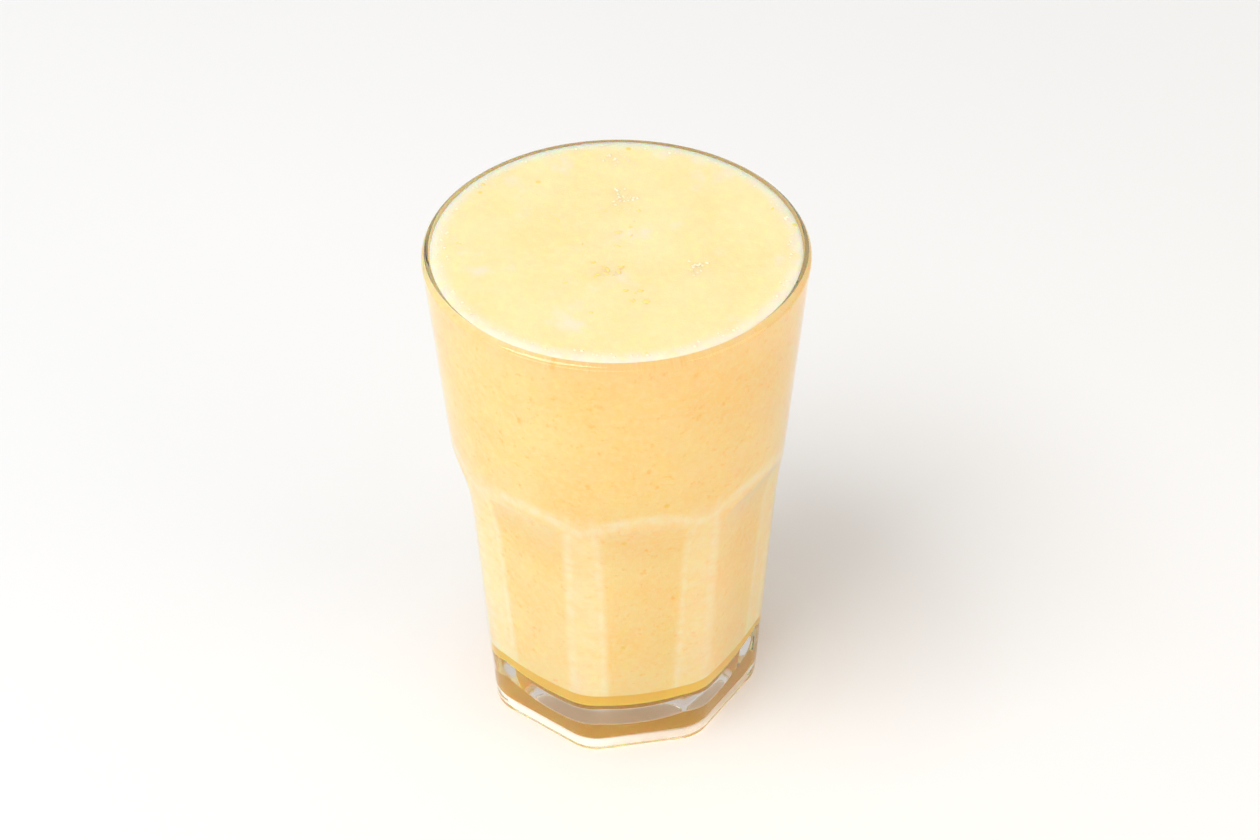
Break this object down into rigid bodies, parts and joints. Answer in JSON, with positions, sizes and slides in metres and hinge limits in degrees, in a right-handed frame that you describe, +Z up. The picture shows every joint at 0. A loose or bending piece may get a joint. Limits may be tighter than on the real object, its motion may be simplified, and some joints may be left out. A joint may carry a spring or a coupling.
{
  "type": "glass of pineapple smoothie",
  "caption": "Tall clear glass tumbler with pressed flats on its lower half and a thick base, filled to the brim with opaque pale yellow pineapple smoothie.",
  "frame": {"origin": "on the table under the middle of the glass", "axes": "+Z up along the axis of the glass, -Y out through the middle of one flat, +X to the right of it"},
  "size_m": [0.0828, 0.0828, 0.125],
  "materials": {
    "glass": "clear pressed glass, fire polished",
    "smoothie": "opaque blended fruit drink with fine froth and pulp, satin wet surface"
  },
  "bodies": {
    "root": {"tumbler": "glass", "smoothie": "smoothie"}
  },
  "joints": []
}
